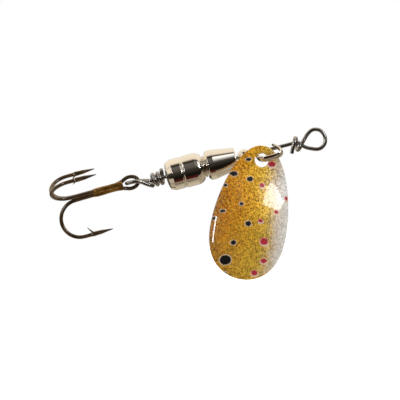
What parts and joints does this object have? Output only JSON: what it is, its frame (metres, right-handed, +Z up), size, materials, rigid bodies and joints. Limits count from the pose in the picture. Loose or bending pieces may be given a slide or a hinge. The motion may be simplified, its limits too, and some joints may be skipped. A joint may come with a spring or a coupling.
{
  "type": "inline spinner",
  "caption": "Inline spinner lure: a cupped, painted egg-shaped blade on a wire stirrup that spins round a straight wire shaft, with a bead, turned metal weights and a treble hook at the tail.",
  "frame": {"origin": "inside the front line eye, on the axis of the straight shaft", "axes": "+X along the shaft from the treble to the line eye, +Z up with the blade hanging down, -Y the side that the blade's bulging face looks to"},
  "size_m": [0.059, 0.0153, 0.0312],
  "materials": {
    "nickel": "nickel plated brass, polished",
    "wire_steel": "bare drawn stainless wire",
    "blade_paint": "glitter paint, amber to silver, with dark and crimson spots under clear lacquer",
    "hook_bronze": "bronzed, lacquered hook wire",
    "braze_metal": "brazing under hook lacquer"
  },
  "bodies": {
    "shaft": {"shaft_wire": "wire_steel"},
    "middle_ring": {"neck_ring": "nickel"},
    "weight": {"body_weight": "nickel"},
    "cone": {"bell_cone": "nickel"},
    "bead": {"bearing_bead": "nickel"},
    "stirrup": {"clevis": "nickel"},
    "blade": {"blade": "blade_paint"},
    "treble": {"double_hook": "hook_bronze", "single_hook": "hook_bronze", "shank_braze": "braze_metal"}
  },
  "joints": [
    {"name": "stack_slide", "type": "slide", "parent": "shaft", "child": "middle_ring", "axis": [1, 0, 0], "range_m": [0, 0.0012]},
    {"name": "weight_spin", "type": "hinge", "parent": "middle_ring", "child": "weight", "pos_m": [-0.028, 0, 0], "axis": [1, 0, 0], "continuous": true},
    {"name": "cone_spin", "type": "hinge", "parent": "middle_ring", "child": "cone", "pos_m": [-0.02, 0, 0], "axis": [1, 0, 0], "continuous": true},
    {"name": "bead_spin", "type": "hinge", "parent": "middle_ring", "child": "bead", "pos_m": [-0.0151, 0, 0], "axis": [1, 0, 0], "continuous": true},
    {"name": "clevis_spin", "type": "hinge", "parent": "middle_ring", "child": "stirrup", "pos_m": [-0.0104, 0, 0], "axis": [1, 0, 0], "continuous": true},
    {"name": "blade_swing", "type": "hinge", "parent": "stirrup", "child": "blade", "pos_m": [-0.0119, -0.00165, -0.00175], "axis": [-0.2079, 0.9781, 0], "range_deg": [-12, 55]},
    {"name": "treble_swing", "type": "hinge", "parent": "shaft", "child": "treble", "pos_m": [-0.04025, 0, 0.00072], "axis": [0, 1, 0], "range_deg": [-60, 60]}
  ]
}
